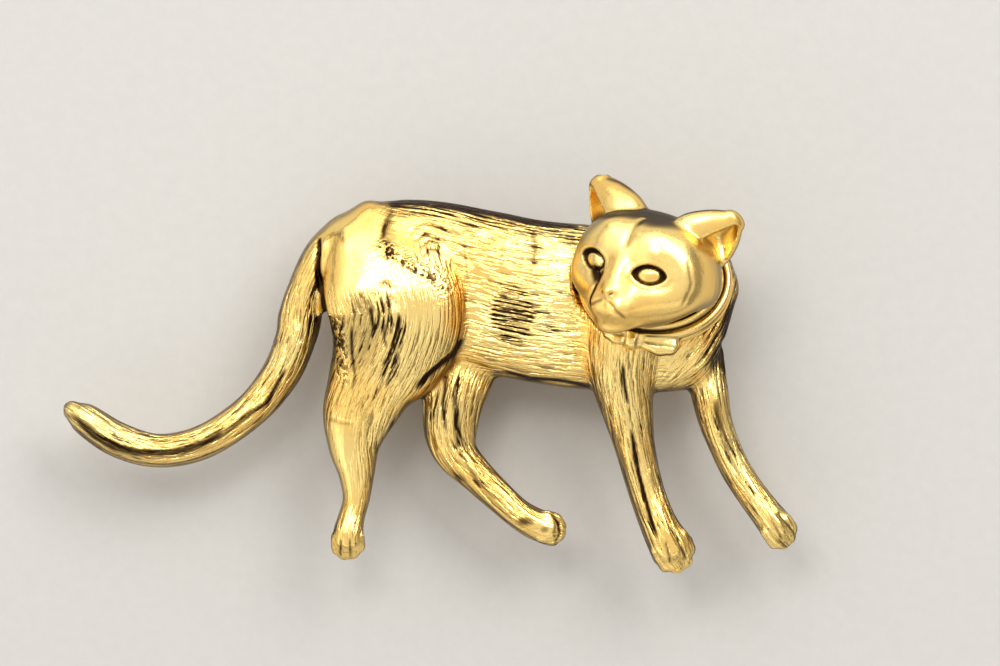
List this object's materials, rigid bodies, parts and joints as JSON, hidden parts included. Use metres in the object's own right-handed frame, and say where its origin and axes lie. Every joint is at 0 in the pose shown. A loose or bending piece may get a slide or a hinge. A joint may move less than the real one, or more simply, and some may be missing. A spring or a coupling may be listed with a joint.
{
  "type": "figural animal brooch",
  "caption": "Walking cat brooch in cast gold-tone metal, head turned to the front, with a ribbon collar tied in a bow and a pin across the back.",
  "frame": {"origin": "centre of the brooch's outline on the surface that it lies on, face up", "axes": "+X from the tail tip to the front paws, +Y from the paws to the ears, +Z out of the front"},
  "size_m": [0.0637, 0.0344, 0.0187],
  "materials": {
    "textured_gold": "polished gold plate over chased fur, dark in the grooves",
    "polished_gold": "smooth polished gold plate",
    "pin_metal": "plain plated pin fitting"
  },
  "bodies": {
    "root": {"cat_body": "textured_gold", "cat_head": "polished_gold", "bow_collar": "polished_gold", "pin_back": "pin_metal"}
  },
  "joints": []
}
